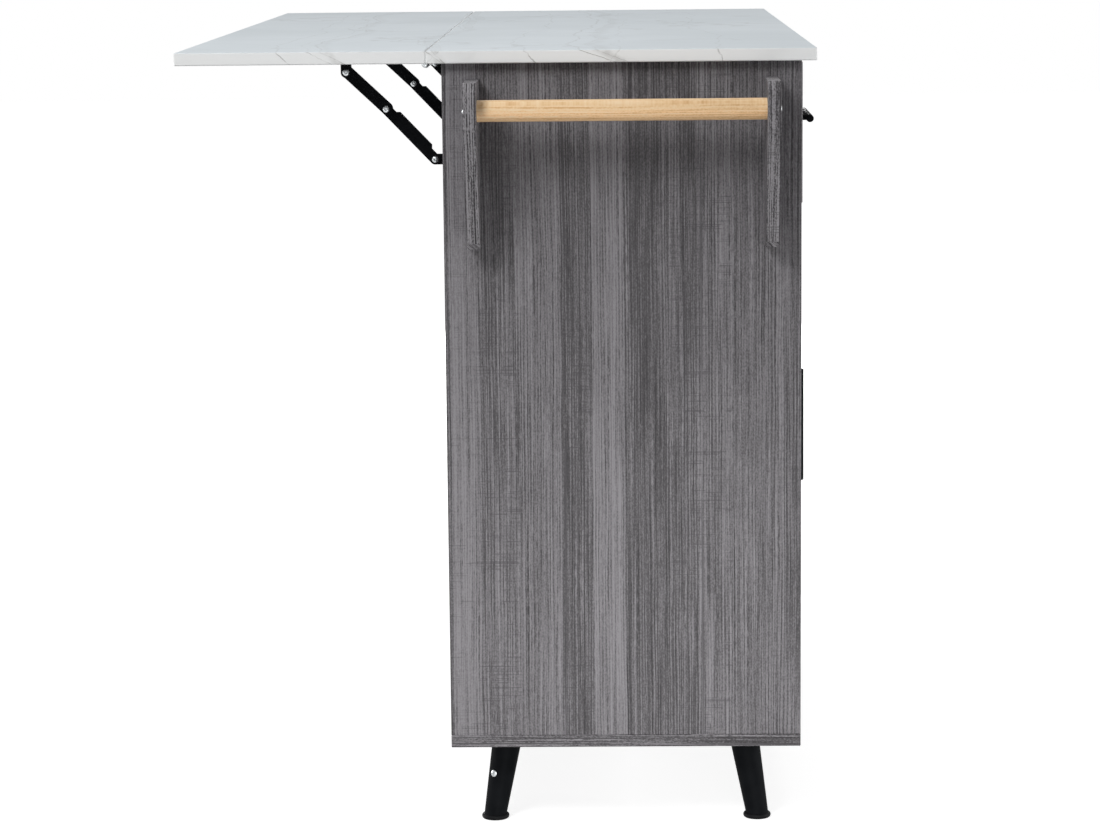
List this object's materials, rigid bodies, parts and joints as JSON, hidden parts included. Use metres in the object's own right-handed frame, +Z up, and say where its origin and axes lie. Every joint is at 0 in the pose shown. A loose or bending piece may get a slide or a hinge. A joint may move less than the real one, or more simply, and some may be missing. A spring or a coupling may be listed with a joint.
{
  "type": "kitchen island",
  "caption": "Long kitchen cabinet on short splayed legs with a marble-look top, a folding rear leaf on steel brackets, drawers over doors, and a towel rail at one end.",
  "frame": {"origin": "on the floor under the middle of the cabinet, at the foot of its centre leg", "axes": "+X along the cabinet away from the towel rail, -Y to the front with the drawers and doors, +Y to the side of the drop leaf, +Z up"},
  "size_m": [1.425, 0.764, 0.942],
  "materials": {
    "marble_print": "white marble print on board",
    "grey_board": "grey wood-grain board",
    "pale_wood": "clear pine",
    "black_metal": "satin black",
    "zinc": "bright zinc",
    "black_plastic": "matt"
  },
  "bodies": {
    "cabinet": {"worktop": "marble_print", "end_panel_left": "grey_board", "end_panel_right": "grey_board", "bottom_board": "grey_board", "back_panel": "grey_board", "middle_partition": "grey_board", "top_rails": "grey_board", "middle_rails": "grey_board", "shelves": "grey_board", "shelf_supports": "zinc", "towel_bracket_back": "grey_board", "towel_bracket_front": "grey_board", "towel_rail": "pale_wood", "towel_rail_screws": "zinc", "centre_leg": "black_metal", "legs_front": "black_metal", "legs_back": "black_metal", "foot_pads": "black_plastic", "leg_plates": "black_metal", "drawer_channels": "zinc", "door_pivot_plates": "zinc", "door_catches": "black_plastic", "seam_hinge_fixed_halves": "zinc", "bracket_cabinet_mounts": "black_metal", "bracket_cabinet_rivets": "zinc"},
    "leaf": {"drop_leaf": "marble_print", "seam_hinge_leaf_halves": "zinc", "bracket_leaf_mounts": "black_metal", "bracket_leaf_rivets": "zinc"},
    "upper_arms": {"bracket_upper_arms": "black_metal", "bracket_knee_rivets": "zinc"},
    "lower_arms": {"bracket_lower_arms": "black_metal"},
    "drawer_left": {"drawer_left_front": "grey_board", "drawer_left_base": "grey_board", "drawer_left_sides": "grey_board", "drawer_left_rear": "grey_board", "drawer_left_pull": "black_metal", "drawer_left_slides": "zinc"},
    "drawer_right": {"drawer_right_front": "grey_board", "drawer_right_base": "grey_board", "drawer_right_sides": "grey_board", "drawer_right_rear": "grey_board", "drawer_right_pull": "black_metal", "drawer_right_slides": "zinc"},
    "door_left_outer": {"door_left_outer_panel": "grey_board", "door_left_outer_pull": "black_metal"},
    "door_left_inner": {"door_left_inner_panel": "grey_board", "door_left_inner_pull": "black_metal"},
    "door_right_inner": {"door_right_inner_panel": "grey_board", "door_right_inner_pull": "black_metal"},
    "door_right_outer": {"door_right_outer_panel": "grey_board", "door_right_outer_pull": "black_metal"}
  },
  "joints": [
    {"name": "leaf_fold", "type": "hinge", "parent": "cabinet", "child": "leaf", "pos_m": [0, 0.235, 0.9214], "axis": [-1, 0, 0], "range_deg": [0, 90]},
    {"name": "upper_arm_swing", "type": "hinge", "parent": "leaf", "child": "upper_arms", "pos_m": [0, 0.3313, 0.9114], "axis": [-1, 0, 0], "range_deg": [0, 39.6]},
    {"name": "lower_arm_swing", "type": "hinge", "parent": "cabinet", "child": "lower_arms", "pos_m": [0, 0.2257, 0.8057], "axis": [1, 0, 0], "range_deg": [0, 47.2]},
    {"name": "drawer_left_slide", "type": "slide", "parent": "cabinet", "child": "drawer_left", "axis": [0, -1, 0], "range_m": [0, 0.3]},
    {"name": "drawer_right_slide", "type": "slide", "parent": "cabinet", "child": "drawer_right", "axis": [0, -1, 0], "range_m": [0, 0.3]},
    {"name": "door_left_outer_swing", "type": "hinge", "parent": "cabinet", "child": "door_left_outer", "pos_m": [-0.628, -0.1985, 0.4285], "axis": [0, 0, -1], "range_deg": [0, 95]},
    {"name": "door_left_inner_swing", "type": "hinge", "parent": "cabinet", "child": "door_left_inner", "pos_m": [-0.0195, -0.1985, 0.4285], "axis": [0, 0, 1], "range_deg": [0, 85]},
    {"name": "door_right_inner_swing", "type": "hinge", "parent": "cabinet", "child": "door_right_inner", "pos_m": [0.0195, -0.1985, 0.4285], "axis": [0, 0, -1], "range_deg": [0, 85]},
    {"name": "door_right_outer_swing", "type": "hinge", "parent": "cabinet", "child": "door_right_outer", "pos_m": [0.628, -0.1985, 0.4285], "axis": [0, 0, 1], "range_deg": [0, 95]}
  ],
  "couplings": [
    {"joint": "upper_arm_swing", "follows": "leaf_fold", "ratio": 0.43818},
    {"joint": "lower_arm_swing", "follows": "leaf_fold", "ratio": 0.52266}
  ]
}
